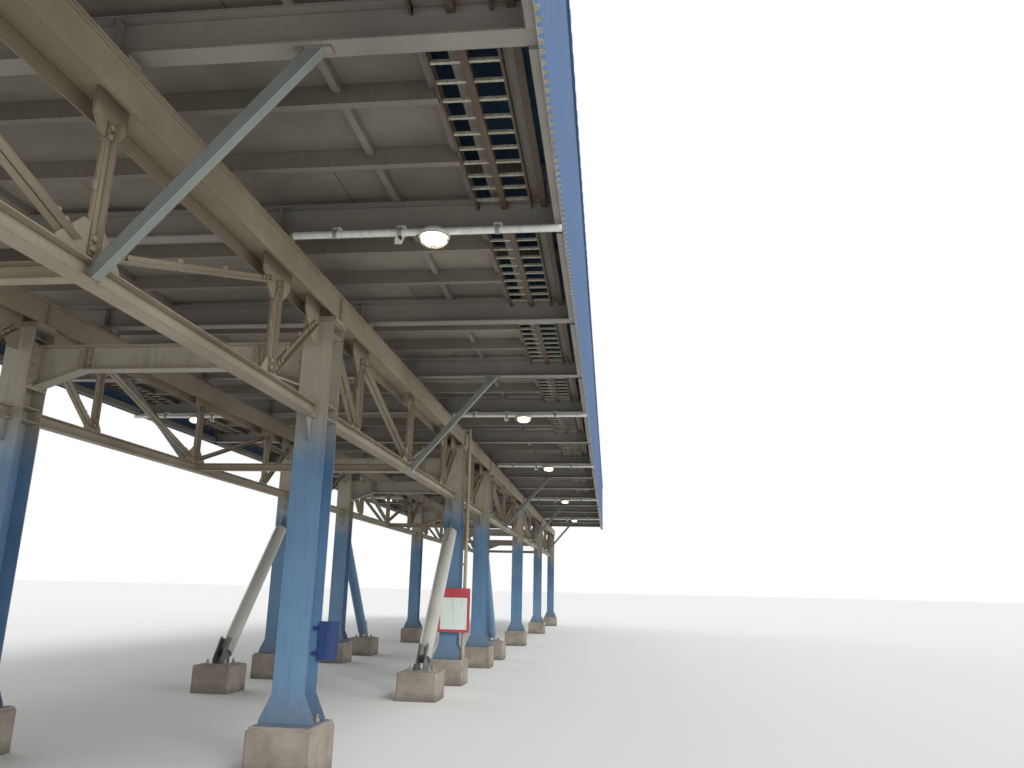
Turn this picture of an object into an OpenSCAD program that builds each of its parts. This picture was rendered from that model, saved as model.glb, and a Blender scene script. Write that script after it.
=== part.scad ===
// Elevated steel gallery on two rows of columns, with floodlights hung beneath it.
// Millimetres. X is across the gallery, Y along it, Z up from the ground.

/* [Bays] */
// Length of a full bay, from column to column
bay = 7200; // [6000:50:7250]
// Length of the short bay that the rakers brace
tower_bay = 3300; // [2700:50:3500]
// Distance between the two rows of columns
row_gap = 3150; // [2800:50:3500]

/* [Plinths] */
// Height of a concrete plinth
plinth_h = 400; // [250:10:500]
// Side of a concrete plinth
plinth_w = 600; // [560:10:700]
// Chamfer on a plinth's edges
plinth_chamfer = 20; // [5:5:40]

/* [Columns] */
// Width of a column's flange
col_w = 300; // [250:10:320]
// Depth of a column from flange to flange
col_d = 300; // [250:10:320]
// Thickness of a column's flanges
col_flange = 15; // [10:1:20]
// Thickness of a column's web
col_web = 10; // [8:1:16]
// Height of the column's top above the ground
col_top = 4100; // [3950:10:4200]
// Side of the base plate
base_w = 500; // [440:10:540]
// Thickness of the base plate
base_t = 25; // [15:1:40]
// Height of the flared wings at the base
wing_h = 250; // [150:10:350]
// Side of the cap plate
cap_w = 340; // [320:10:380]
// Thickness of the cap plate
cap_t = 20; // [12:1:30]
// Thickness of a stiffener plate
rib_t = 12; // [8:1:16]
// Drop from the cap to the second stiffener
rib_drop = 120; // [80:10:200]

/* [Ties] */
// Depth of the tie beam between the two columns of a frame
tie_d = 260; // [200:10:320]
// Width of the tie beam's flanges
tie_w = 160; // [120:10:200]
// Gap from the tie beam's top up to the top chord
tie_drop = 240; // [180:10:300]
// Depth that the haunch adds at a column
haunch_d = 180; // [100:10:240]
// Length of the haunch
haunch_l = 500; // [300:10:700]

/* [Trusses] */
// Height of the top chord
top_chord_h = 220; // [160:10:260]
// Bearing plate between the cap and the top chord
bearing_t = 40; // [20:5:60]
// Clear height between the bottom chord and the top chord
truss_clear = 890; // [800:10:1000]
// Depth of the bottom chord
low_chord_d = 120; // [100:10:160]
// Width of the bottom chord
low_chord_w = 120; // [100:10:160]
// Leg of a bracing angle
leg = 50; // [40:5:65]
// Thickness of a bracing angle
leg_t = 8; // [6:1:10]
// Thickness of a gusset plate
gusset_t = 12; // [8:1:16]
// Thickness of the plate along the top chord
ledge_t = 20; // [10:1:30]
// Overhang of the plate along the top chord
ledge_lip = 30; // [10:5:50]

/* [Rakers] */
// Outside diameter of a raker pipe
raker_od = 219; // [168:1:245]
// Distance from the column's centre to the raker's foot
raker_reach = 2100; // [1700:50:2300]
// Height at which a raker meets its column
raker_top = 2700; // [2300:50:2900]

/* [Floor] */
// Overhang of the gallery past each row of columns
overhang = 2470; // [2200:10:2600]
// Reach of the floor plates past each row of columns
deck_reach = 1710; // [1500:10:1780]
// Depth of a cross-beam
beam_d = 250; // [200:10:300]
// Width of a cross-beam's flanges
beam_w = 150; // [120:10:200]
// Height of the stools that carry the cross-beams
stool_h = 120; // [60:5:140]
// Depth of the stringers on the cross-beams
stringer_d = 60; // [50:5:80]
// Depth of the joists between the cross-beams
joist_d = 140; // [110:10:180]
// Thickness of the floor plates
plate_t = 12; // [8:1:16]
// Leg of a knee brace's angle
knee_leg = 75; // [60:5:90]
// How far a knee brace reaches out
knee_reach = 1220; // [900:10:1300]
// Width of the struts between the two rows of girders
strut_w = 100; // [80:10:120]

/* [Cable ladders] */
// Width of one run of the cable ladder
ladder_w = 225; // [150:5:240]
// Spacing of the rungs
rung_gap = 200; // [150:5:250]
// Width of a rung
rung_w = 25; // [20:1:40]
// Width of an outer ladder rail
rail_w = 15; // [12:1:25]
// Width of the middle rail
mid_rail_w = 50; // [30:5:60]
// Height of a ladder rail
rail_h = 60; // [40:5:80]

/* [House] */
// Height of the side walls
wall_h = 1980; // [1900:10:2200]
// How far the walls hang below the cross-beams' tops
wall_drop = 290; // [150:10:320]
// Pitch of the ribs on the wall panels
rib_pitch = 90; // [80:10:150]
// Pitch of the ribs on the roof panels
roof_pitch = 300; // [200:10:400]
// Thickness of a panel over its ribs
rib_d = 35; // [25:5:45]
// Thickness of a panel between its ribs
sheet_t = 8; // [5:1:12]
// Depth of the girts behind the walls
girt_d = 60; // [50:5:80]
// Depth of the wall posts
post_d = 80; // [60:5:100]
// Rise of the roof from the eaves to the ridge
roof_rise = 400; // [300:10:500]
// Depth of the rafters
rafter_d = 140; // [100:10:160]

/* [Floodlights] */
// Outside diameter of a lamp pipe
pipe_od = 60; // [48:1:70]
// Diameter of a lamp's housing
lamp_od = 260; // [200:10:280]
// Height of a lamp's housing
lamp_h = 70; // [60:5:140]
// Distance from the gallery's middle to the lamps of the outer side
lamp_x = 2960; // [2700:10:3100]
// Distance from the gallery's middle to the lamps of the inner side
lamp_x_inner = 2850; // [2700:10:3100]
// Distance from a cross-beam's middle to its lamp pipe
pipe_shift = 160; // [150:5:200]

/* [Hidden] */
$fn = 48;

// Bays in order, and the frames between them
spans = [bay, bay, tower_bay, bay, bay, bay];
near_tower = 3;
far_tower = 4;
function run(i) = i <= 0 ? 0 : spans[i - 1] + run(i - 1);
total = run(len(spans));
function frame_y(k) = run(k - 1) - total / 2;
row_x = row_gap / 2;
end_y = total / 2 + col_d / 2;

// Levels, from the ground up
base_z = plinth_h;
foot_z = base_z + base_t;
chord_z = col_top + cap_t + bearing_t;
ledge_z = chord_z + top_chord_h;
low_top_z = chord_z - truss_clear;
low_z = low_top_z - low_chord_d;
beam_z = ledge_z + ledge_t + stool_h;
beam_top_z = beam_z + beam_d;
floor_z = beam_top_z + stringer_d;
tie_top_z = chord_z - tie_drop;
tie_z = tie_top_z - tie_d;
wall_z = beam_top_z - wall_drop;
eaves_z = wall_z + wall_h;

// Places across the gallery
wall_x = row_x + overhang;
sheet_x = wall_x - rib_d;
girt_x = sheet_x - girt_d;
post_x = girt_x - post_d;
deck_x = row_x + deck_reach;
ladder_gap = 5;
ladder_x = deck_x + ladder_gap;

// Cross-beams stand at the truss nodes, three to a full bay and one to the short bay
full_nodes = [1 / 6, 1 / 2, 5 / 6];
short_nodes = [1 / 2];
function node_list(b) = b == near_tower ? short_nodes : full_nodes;
function node_y(b, n) = frame_y(b) + spans[b - 1] * n;
beam_ys = [for (b = [1 : len(spans)]) for (n = node_list(b)) node_y(b, n)];
beam_flange = 14;
beam_web = 9;

module h_profile(depth, width, web, flange) {
    square([web, depth - flange], center = true);
    for (side = [-1, 1])
        translate([0, side * (depth - flange) / 2])
            square([width, flange], center = true);
}

module column_shaft() {
    translate([0, 0, foot_z])
        linear_extrude(col_top - foot_z)
            h_profile(col_d, col_w, col_web, col_flange);
}

module base_wings() {
    for (side = [-1, 1])
        for (face = [-1, 1])
            translate([0, face * (col_d - col_flange) / 2 + col_flange / 2, foot_z])
                rotate([90, 0, 0])
                    linear_extrude(col_flange)
                        polygon([
                            [side * (col_w / 2 - 5), 0], [side * base_w / 2, 0],
                            [side * base_w / 2, 30], [side * (col_w / 2 - 5), wing_h]
                        ]);
}

module column_ribs() {
    depth = col_d - col_flange;
    for (z = [col_top - rib_t, col_top - rib_drop, low_top_z, low_z - rib_t])
        translate([-col_w / 2 + 5, -depth / 2, z])
            cube([col_w - 10, depth, rib_t]);
}

module chord_seats(near, far) {
    seat = 160;
    for (face = [near ? -1 : 0, far ? 1 : 0])
        if (face != 0) {
            translate([-low_chord_w / 2, face > 0 ? col_d / 2 - 5 : -col_d / 2 - seat + 5, low_z - rib_t])
                cube([low_chord_w, seat, rib_t]);
            translate([rib_t / 2, face * (col_d / 2 - 5), low_z - rib_t + 2])
                rotate([90, 0, -90])
                    linear_extrude(rib_t)
                        polygon([[0, 0], [-face * (seat - 20), 0], [-face * 30, -220], [0, -220]]);
        }
}

module column(near, far) {
    translate([-base_w / 2, -base_w / 2, base_z])
        cube([base_w, base_w, base_t]);
    column_shaft();
    base_wings();
    column_ribs();
    chord_seats(near, far);
    translate([-cap_w / 2, -cap_w / 2, col_top])
        cube([cap_w, cap_w, cap_t]);
    translate([-cap_w / 2 + 10, -cap_w / 2 + 30, col_top + cap_t])
        cube([cap_w - 20, cap_w - 60, bearing_t]);
}

module tie_beam() {
    reach = row_x - col_w / 2;
    flange = 12;
    web = 9;
    splice_w = 140;
    outline = [
        [-reach, -haunch_d], [-reach + haunch_l, 0], [reach - haunch_l, 0],
        [reach, -haunch_d], [reach, tie_d], [-reach, tie_d]
    ];
    translate([0, web / 2, tie_z])
        rotate([90, 0, 0])
            linear_extrude(web)
                polygon(outline);
    translate([-reach, -tie_w / 2, tie_top_z - flange])
        cube([2 * reach, tie_w, flange]);
    translate([0, tie_w / 2, tie_z])
        rotate([90, 0, 0])
            linear_extrude(tie_w)
                polygon([
                    [-reach, -haunch_d], [-reach + haunch_l, 0], [reach - haunch_l, 0], [reach, -haunch_d],
                    [reach, -haunch_d + flange], [reach - haunch_l, flange],
                    [-reach + haunch_l, flange], [-reach, -haunch_d + flange]
                ]);
    for (side = [-1, 1]) {
        translate([side * (reach - haunch_l) - rib_t / 2, -tie_w / 2, tie_z])
            cube([rib_t, tie_w, tie_d]);
        // Splice plates on both faces of the web, where the haunch starts
        translate([side * (reach - haunch_l) - splice_w / 2, -web / 2 - 10, tie_z + flange - 1])
            cube([splice_w, web + 20, tie_d - 2 * flange + 2]);
        translate([side * reach - (side > 0 ? 5 : rib_t), -col_d / 2 + 2, tie_z - haunch_d - 20])
            cube([rib_t + 5, col_d - 4, tie_d + haunch_d + 40]);
    }
}

module portal(k) {
    color("steelblue")
        translate([0, frame_y(k), 0]) {
            for (side = [-1, 1])
                translate([side * row_x, 0, 0])
                    column(k > 1, k <= len(spans));
            tie_beam();
        }
}

module chamfered_block(w, h, c) {
    outline = [[c, 0], [w - c, 0], [w, c], [w, w - c], [w - c, w], [c, w], [0, w - c], [0, c]];
    upright = [[0, 0], [w, 0], [w, h - c], [w - c, h], [c, h], [0, h - c]];
    intersection() {
        translate([-w / 2, -w / 2, 0])
            linear_extrude(h)
                polygon(outline);
        translate([-w / 2, w / 2, 0])
            rotate([90, 0, 0])
                linear_extrude(w)
                    polygon(upright);
        translate([-w / 2, -w / 2, 0])
            rotate([90, 0, 90])
                linear_extrude(w)
                    polygon(upright);
    }
}

module plinths(k) {
    away = k == near_tower ? -1 : k == far_tower ? 1 : 0;
    color("gray")
        for (side = [-1, 1]) {
            translate([side * row_x, frame_y(k), 0])
                chamfered_block(plinth_w, plinth_h, plinth_chamfer);
            if (away != 0)
                translate([side * row_x, frame_y(k) + away * raker_reach, 0])
                    chamfered_block(plinth_w, plinth_h, plinth_chamfer);
        }
}

// A raking pipe from its shoe, out along Y, up to the bracket on the column
module raker() {
    shoe = 380;
    shoe_t = 20;
    foot = [raker_reach, plinth_h + shoe_t];
    head = [col_d / 2, raker_top];
    run_y = head[0] - foot[0];
    run_z = head[1] - foot[1];
    slope = atan2(run_y, run_z);
    length = norm([run_y, run_z]);
    low_gap = 180;
    high_gap = 170;
    slot = 330;
    translate([-shoe / 2, foot[0] - shoe / 2, plinth_h])
        cube([shoe, shoe, shoe_t]);
    translate([0, foot[0], foot[1]])
        rotate([-slope, 0, 0])
            difference() {
                translate([0, 0, low_gap])
                    cylinder(d = raker_od, h = length - low_gap - high_gap);
                // The slot that the head plate goes into
                translate([1 - gusset_t / 2, -raker_od, length - high_gap - slot])
                    cube([gusset_t - 2, 2 * raker_od, slot + 1]);
            }
    for (x = [-60, 60])
        translate([x + gusset_t / 2, foot[0], plinth_h + shoe_t])
            rotate([90, 0, -90])
                linear_extrude(gusset_t)
                    polygon([[-150, 0], [150, 0], [190, 330], [60, 380], [-150, 60]]);
    translate([gusset_t / 2, 0, raker_top])
        rotate([90, 0, -90])
            linear_extrude(gusset_t)
                polygon([
                    [-col_d / 2, 150], [-col_d / 2, -150], [-col_d / 2 - 172, -339],
                    [-col_d / 2 - 308, -223], [-col_d / 2 - 178, -71]
                ]);
}

module rakers(k, away) {
    color("lightgray")
        for (side = [-1, 1])
            translate([side * row_x, frame_y(k), 0])
                mirror([0, away < 0 ? 1 : 0, 0])
                    raker();
}

// Two angles back to back, seen in the plane across the bar
module pair_profile() {
    half = leg + gusset_t / 2;
    stem = gusset_t / 2 + leg_t;
    slot = gusset_t / 2 - 1.5;
    polygon([
        [-half, 0], [-half, leg_t], [-stem, leg_t], [-stem, leg], [stem, leg], [stem, leg_t],
        [half, leg_t], [half, 0], [slot, 0], [slot, leg_t + 4], [-slot, leg_t + 4], [-slot, 0]
    ]);
}

// A bar of the truss from one point to another, given along the gallery and up
module truss_bar(p, q) {
    dy = q[0] - p[0];
    dz = q[1] - p[1];
    translate([0, p[0], p[1]])
        rotate([-atan2(dy, dz), 0, 0])
            translate([0, leg / 2, 0])
                mirror([0, 1, 0])
                    linear_extrude(norm([dy, dz]))
                        pair_profile();
}

module gusset(y, z, points) {
    translate([-gusset_t / 2, y, z])
        rotate([90, 0, 90])
            linear_extrude(gusset_t)
                polygon(points);
}

// A plate's outline let up into the chord above it
function hung(points, deep) = [for (p = points) p[1] == 0 ? p : [p[0], p[1] - deep]];

// The top chord lies on its side. Plates close it where it meets the next bay's chord.
module top_chord(from, to) {
    end_plate_t = 22;
    for (y = [from, to - end_plate_t])
        translate([-col_w / 2 - ledge_lip + 8, y, chord_z])
            cube([col_w + 2 * ledge_lip - 16, end_plate_t, top_chord_h]);
    translate([0, from, chord_z + top_chord_h / 2])
        rotate([-90, 0, 0])
            linear_extrude(to - from)
                rotate(90)
                    h_profile(col_w, top_chord_h, 10, 14);
    translate([-col_w / 2 - ledge_lip, from, ledge_z])
        cube([col_w + 2 * ledge_lip, to - from, ledge_t]);
}

module low_chord(from, to) {
    translate([0, from, low_z + low_chord_d / 2])
        rotate([-90, 0, 0])
            linear_extrude(to - from)
                h_profile(low_chord_d, low_chord_w, 9, 12);
}

module truss(b) {
    length = spans[b - 1];
    short = b == near_tower;
    face = col_d / 2;
    top = chord_z + top_chord_h / 2;
    low = low_top_z - 2;
    top_chord(b == 1 ? -face : 0, b == len(spans) ? length + face : length);
    low_chord(face, length - face);
    deep = top_chord_h / 2;
    wide = [[-280, 0], [280, 0], [280, -50], [90, -230], [-90, -230], [-280, -50]];
    small = [[-150, 0], [150, 0], [150, -50], [70, -150], [-70, -150], [-150, -50]];
    corner = [[0, 0], [360, 0], [360, -60], [130, -310], [0, -310]];
    for (n = short ? short_nodes : full_nodes) {
        middle = n == 1 / 2;
        gusset(n * length, top, hung(middle ? small : wide, deep));
        gusset(n * length, low, [for (p = middle ? wide : small) [p[0], -p[1]]]);
        truss_bar([n * length, low + 41], [n * length, chord_z - 43]);
    }
    // Plates in the corners over the columns reach up from the cap's edge to the chord
    for (side = [0, 1])
        translate([0, side * length, 0])
            mirror([0, side, 0])
                gusset(cap_w / 2 + 1, top, hung(corner, deep));
    if (short) {
        truss_bar([cap_w / 2 + 110, chord_z - 105], [length / 2 - 110, low + 97]);
        truss_bar([length / 2 + 110, low + 97], [length - cap_w / 2 - 110, chord_z - 105]);
    } else {
        first = full_nodes[0] * length;
        mid = full_nodes[1] * length;
        last = full_nodes[2] * length;
        truss_bar([cap_w / 2 + 110, chord_z - 105], [first - 55, low + 67]);
        truss_bar([first + 125, chord_z - 83], [mid - 135, low + 93]);
        truss_bar([mid + 135, low + 93], [last - 125, chord_z - 83]);
        truss_bar([last + 55, low + 67], [length - cap_w / 2 - 110, chord_z - 105]);
    }
}

// A strut from one row's bottom chord to the other's
module strut() {
    reach = row_x - low_chord_w / 2 + 5;
    translate([-reach, 0, low_z + low_chord_d - strut_w / 2 - 5])
        rotate([90, 0, 90])
            linear_extrude(2 * reach)
                h_profile(strut_w, strut_w, 7, 9);
}

// The two girders of a bay, and the strut between them at the middle of a full bay
module trusses(b) {
    color("tan") {
        for (side = [-1, 1])
            translate([side * row_x, frame_y(b), 0])
                truss(b);
        if (b != near_tower)
            translate([0, node_y(b, 1 / 2), 0])
                strut();
    }
}

module knee_brace() {
    low = [low_chord_w / 2, low_z + 20];
    high = [knee_reach, beam_z - 10];
    run_x = high[0] - low[0];
    run_z = high[1] - low[1];
    foot = 150;
    translate([0, knee_leg, 0])
        rotate([90, 0, 0])
            linear_extrude(knee_leg)
                polygon([
                    [low[0], low[1] - 10], [low[0], low[1] + 90],
                    [high[0] - 90, high[1]], [high[0] + 10, high[1]]
                ]);
    translate([low[0], -6, low[1] - 10])
        cube([8, knee_leg + 6, 130]);
    translate([high[0] - foot, 0, high[1] - 1])
        cube([foot + 60, knee_leg, 13]);
}

// A beam across both girders, on a stool over each of them
module crossbeam() {
    reach = sheet_x;
    translate([-reach, 0, beam_z + beam_d / 2])
        rotate([90, 0, 90])
            linear_extrude(2 * reach)
                h_profile(beam_d, beam_w, beam_web, beam_flange);
    for (side = [-1, 1]) {
        translate([side * (reach - 6) - 6, -beam_w / 2, beam_z])
            cube([12, beam_w, beam_d]);
        translate([side * row_x - 100, 10 - beam_w / 2, beam_z - stool_h])
            cube([200, beam_w - 20, stool_h + 1]);
        translate([side * row_x - col_w / 2, -beam_w / 2, beam_z - stool_h])
            cube([col_w, beam_w, 15]);
        translate([side * row_x - rib_t / 2, -beam_w / 2, beam_z])
            cube([rib_t, beam_w, beam_d]);
    }
}

// The cross-beams of a bay, with the knee braces up to the middle one
module crossbeams(b) {
    color("dimgray") {
        for (n = node_list(b))
            translate([0, node_y(b, n), 0])
                crossbeam();
        if (b != near_tower)
            for (side = [-1, 1])
                translate([side * row_x, node_y(b, 1 / 2) - knee_leg / 2, 0])
                    mirror([side < 0 ? 1 : 0, 0, 0])
                        knee_brace();
    }
}

module deck() {
    stringer_w = 60;
    joist_w = 70;
    plank_w = 100;
    stringer_xs = [row_x / 2, row_x + deck_reach * 0.6, deck_x - stringer_w / 2];
    plank_xs = [ladder_x + ladder_w * 0.78, post_x - plank_w];
    joist_spots = [
        for (i = [0 : len(beam_ys) - 2])
            for (f = [1 / 3, 2 / 3])
                beam_ys[i] + (beam_ys[i + 1] - beam_ys[i]) * f
    ];
    color("gray") {
        translate([-deck_x, -end_y, floor_z])
            cube([2 * deck_x, 2 * end_y, plate_t]);
        for (side = [-1, 1]) {
            for (x = stringer_xs)
                translate([side * x - stringer_w / 2, -end_y, beam_top_z])
                    cube([stringer_w, 2 * end_y, stringer_d + 1]);
            for (x = plank_xs)
                translate([side * x - plank_w / 2, -end_y, beam_top_z])
                    cube([plank_w, 2 * end_y, stringer_d]);
        }
        for (y = joist_spots)
            translate([-deck_x, y - joist_w / 2, floor_z - joist_d])
                cube([2 * deck_x, joist_w, joist_d + 1]);
    }
}

// One run of the ladder, two rows of rungs wide, hung between two beams with an angle beside it
module ladder_run(length) {
    first = rung_gap * 0.1;
    rungs = floor((length - first - rung_w) / rung_gap);
    angle = 50;
    for (x = [0, 2 * ladder_w])
        translate([x, 0, 0])
            cube([rail_w, length, rail_h]);
    translate([ladder_w + (rail_w - mid_rail_w) / 2, 0, 0])
        cube([mid_rail_w, length, rail_h]);
    for (i = [0 : rungs])
        translate([1, first + i * rung_gap - rung_w / 2, 10])
            cube([2 * ladder_w, rung_w, 20]);
    translate([2 * ladder_w + 90, length, rail_h - angle])
        rotate([90, 0, 0])
            linear_extrude(length)
                polygon([[0, 0], [angle, 0], [angle, 6], [6, 6], [6, angle], [0, angle]]);
}

module cable_ladder(side) {
    gap = beam_web / 2 + 10;
    color("gainsboro")
        for (i = [0 : len(beam_ys) - 2])
            mirror([side < 0 ? 1 : 0, 0, 0])
                translate([ladder_x, beam_ys[i] + gap, beam_top_z - beam_flange - rail_h])
                    ladder_run(beam_ys[i + 1] - beam_ys[i] - 2 * gap);
}

// Posts and girts behind a wall, with base rails that run from cross-beam to cross-beam
module wall_frame(side) {
    girt_h = 100;
    post_top = eaves_z - rafter_d - 60;
    stops = concat([-end_y - beam_w / 2], beam_ys, [end_y + beam_w / 2]);
    color("tan")
        mirror([side < 0 ? 1 : 0, 0, 0]) {
            for (y = beam_ys)
                translate([post_x, y - post_d / 2, beam_top_z])
                    cube([post_d + 1, post_d, post_top - beam_top_z]);
            for (z = [beam_top_z, wall_z + wall_h / 2, post_top - girt_h])
                translate([girt_x, -end_y, z])
                    cube([girt_d, 2 * end_y, girt_h]);
            for (i = [0 : len(stops) - 2])
                translate([girt_x, stops[i] + beam_w / 2, wall_z + 20])
                    cube([girt_d, stops[i + 1] - stops[i] - beam_w, girt_h]);
        }
}

// A run of panel that starts at the origin and goes along Y, flat at the back and ribbed towards X
function rib_edge(n, pitch) = [
    for (i = [0 : n - 1])
        for (p = [[0, 0.1], [0, 0.4], [1, 0.5], [1, 0.9]])
            [sheet_t + (rib_d - sheet_t) * p[0], pitch * (i + p[1])]
];

module ribbed_panel(length, height, rib) {
    n = round(length / rib);
    linear_extrude(height)
        polygon(concat([[0, 0], [sheet_t, 0]], rib_edge(n, length / n), [[sheet_t, length], [0, length]]));
}

// A row of panels along the gallery, one to a bay, with a narrow joint between them
module panel_row(height, rib) {
    joint = 4;
    edges = concat([-end_y], [for (k = [2 : len(spans)]) frame_y(k)], [end_y]);
    for (i = [0 : len(edges) - 2]) {
        from = edges[i] + (i > 0 ? joint / 2 : 0);
        to = edges[i + 1] - (i < len(edges) - 2 ? joint / 2 : 0);
        translate([0, from, 0])
            ribbed_panel(to - from, height, rib);
    }
}

module wall(side) {
    color("royalblue")
        mirror([side < 0 ? 1 : 0, 0, 0])
            translate([sheet_x, 0, wall_z])
                panel_row(wall_h, rib_pitch);
}

roof_slope = atan2(roof_rise, wall_x);
roof_run = norm([wall_x, roof_rise]);
purlin_h = 60;
purlin_w = 70;
eaves_lip = 25;

// Places the children on the slope of one side of the roof, at the ridge
module on_slope(side) {
    mirror([side < 0 ? 1 : 0, 0, 0])
        translate([0, 0, eaves_z + roof_rise])
            rotate([0, roof_slope, 0])
                children();
}

// The rafters and purlins of one side of the roof, from the ridge down to the wall
module roof_frame(side) {
    top = -purlin_h + 2;
    color("tan") {
        for (y = beam_ys)
            mirror([side < 0 ? 1 : 0, 0, 0])
                translate([0, y + post_d / 2, eaves_z])
                    rotate([90, 0, 0])
                        linear_extrude(post_d)
                            polygon([
                                [0, top - rafter_d + roof_rise * girt_x / wall_x], [girt_x, top - rafter_d],
                                [girt_x, top + roof_rise * (1 - girt_x / wall_x)], [0, top + roof_rise]
                            ]);
        on_slope(side)
            for (x = [60, roof_run * 0.33, roof_run * 0.65, roof_run - girt_d - 130])
                translate([x, -end_y, -purlin_h])
                    cube([purlin_w, 2 * end_y, purlin_h]);
    }
}

module roof(side) {
    color("slategray")
        on_slope(side)
            translate([0, 0, 0.3])
                rotate([0, 90, 0])
                    mirror([1, 0, 0])
                        panel_row(roof_run + eaves_lip, roof_pitch);
}

pipe_gap = 45;
pipe_z = beam_z - pipe_gap - pipe_od / 2;

module lamp_pipe(from, to) {
    translate([from, 0, 0])
        rotate([0, 90, 0])
            cylinder(d = pipe_od, h = to - from);
}

// A round housing that the pipe runs into, with its open side down
module lamp() {
    translate([0, 0, pipe_od / 2 - 4 - lamp_h])
        rotate_extrude()
            polygon([
                [0, 0], [lamp_od / 2, 0], [lamp_od / 2, 16], [lamp_od * 0.46, 22],
                [lamp_od * 0.42, lamp_h * 0.55], [lamp_od * 0.32, lamp_h * 0.86],
                [lamp_od * 0.2, lamp_h], [0, lamp_h]
            ]);
}

// A pipe under one overhang from the girder to the wall, hung from the cross-beam, and its lamp
module hung_lamp(x) {
    from = row_x + col_w / 2 + ledge_lip;
    lug_w = 70;
    lamp_pipe(from, sheet_x);
    translate([x, 0, 0])
        lamp();
    for (spot = [from + (x - from) * 0.3, x - lamp_od / 2 - 160, (x + sheet_x) / 2])
        translate([spot - lug_w / 2, pipe_od / 2 - 12, pipe_od / 2 - 10]) {
            cube([lug_w, 10, pipe_gap + 10]);
            translate([0, 0, pipe_gap])
                cube([lug_w, pipe_shift - beam_w / 2 + 30, 10]);
        }
    // A small plate under the pipe, where the lamp's cord comes out
    translate([x - lamp_od / 2 - 200, 4, -pipe_od / 2 - 70])
        rotate([90, 0, 0])
            linear_extrude(8)
                polygon([[0, 0], [60, 0], [90, 80], [0, 80]]);
}

module lamp_set(y) {
    color("white")
        translate([0, y - pipe_shift, pipe_z]) {
            hung_lamp(lamp_x);
            mirror([1, 0, 0])
                hung_lamp(lamp_x_inner);
        }
}

module downpipe() {
    out = base_w / 2 + 20;
    top = ledge_z + ledge_t + pipe_od / 2;
    color("lightgray")
        translate([row_x, frame_y(near_tower) - 150, 0]) {
            translate([out, 0, plinth_h])
                cylinder(d = pipe_od, h = top - plinth_h);
            translate([out, 0, top])
                sphere(d = pipe_od);
            translate([0, 0, top])
                rotate([0, 90, 0])
                    cylinder(d = pipe_od, h = out);
            for (f = [0.12, 0.4, 0.66])
                translate([col_w / 2, -20, plinth_h + (top - plinth_h) * f])
                    cube([out - col_w / 2, 40, 8]);
        }
}

portal(1);  // portal_1
portal(2);  // portal_2
portal(3);  // portal_3
portal(4);  // portal_4
portal(5);  // portal_5
portal(6);  // portal_6
portal(7);  // portal_7
plinths(1);  // plinths_1
plinths(2);  // plinths_2
plinths(3);  // plinths_3
plinths(4);  // plinths_4
plinths(5);  // plinths_5
plinths(6);  // plinths_6
plinths(7);  // plinths_7
rakers(near_tower, -1);  // rakers_near
rakers(far_tower, 1);  // rakers_far
trusses(1);  // trusses_1
trusses(2);  // trusses_2
trusses(3);  // trusses_3
trusses(4);  // trusses_4
trusses(5);  // trusses_5
trusses(6);  // trusses_6
crossbeams(1);  // crossbeams_1
crossbeams(2);  // crossbeams_2
crossbeams(3);  // crossbeams_3
crossbeams(4);  // crossbeams_4
crossbeams(5);  // crossbeams_5
crossbeams(6);  // crossbeams_6
deck();
cable_ladder(1);  // cable_ladder_outer
cable_ladder(-1);  // cable_ladder_inner
wall_frame(1);  // wall_frame_outer
wall_frame(-1);  // wall_frame_inner
wall(1);  // wall_outer
wall(-1);  // wall_inner
roof_frame(1);  // roof_frame_outer
roof_frame(-1);  // roof_frame_inner
roof(1);  // roof_outer
roof(-1);  // roof_inner
lamp_set(node_y(1, 5 / 6));  // lamps_1
lamp_set(node_y(2, 5 / 6));  // lamps_2
lamp_set(node_y(4, 1 / 6));  // lamps_3
lamp_set(node_y(5, 1 / 6));  // lamps_4
lamp_set(node_y(6, 1 / 6));  // lamps_5
downpipe();
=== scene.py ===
"""Dresses an elevated conveyor gallery: steel trestle, lattice girders, sheet walls and hanging floodlights."""
import math

import bmesh
import bpy
from bpy.props import FloatProperty, FloatVectorProperty, PointerProperty, StringProperty
from mathutils import Matrix, Vector


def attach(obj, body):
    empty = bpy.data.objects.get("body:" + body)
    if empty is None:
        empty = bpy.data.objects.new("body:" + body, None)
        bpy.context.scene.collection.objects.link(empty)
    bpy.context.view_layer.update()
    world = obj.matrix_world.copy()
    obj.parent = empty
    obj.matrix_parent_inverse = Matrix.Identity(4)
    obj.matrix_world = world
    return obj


bl_info = {
    "name": "Conveyor Gallery Finish",
    "version": (1, 0, 0),
    "blender": (4, 5, 0),
    "location": "View3D > Sidebar > Gallery",
    "description": "Paints an elevated conveyor gallery and adds its lamps, bolts, plates and signs",
    "category": "Object",
}

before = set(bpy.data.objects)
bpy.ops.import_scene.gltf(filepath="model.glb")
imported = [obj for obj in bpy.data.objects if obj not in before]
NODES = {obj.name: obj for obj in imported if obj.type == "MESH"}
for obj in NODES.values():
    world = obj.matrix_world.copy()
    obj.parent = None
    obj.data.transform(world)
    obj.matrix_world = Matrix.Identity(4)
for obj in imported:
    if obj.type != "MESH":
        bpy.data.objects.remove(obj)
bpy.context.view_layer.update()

# Places that the pieces share with the CAD nodes, in metres: X across the gallery, Y along it and Z up
FRAME_YS = (-19.65, -12.45, -5.25, -1.95, 5.25, 12.45, 19.65)
SPANS = (7.2, 7.2, 3.3, 7.2, 7.2, 7.2)
SHORT_BAY = 2
END_Y = 19.80
ROW_X = 1.575
COLUMN_HALF = 0.15
PLINTH_TOP = 0.40
BASE_TOP = 0.425
# The rakers' shoes stand outside the short bay.
SHOE_YS = (FRAME_YS[2] - 2.1, FRAME_YS[3] + 2.1)
SHOE_TOP = 0.42
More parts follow.
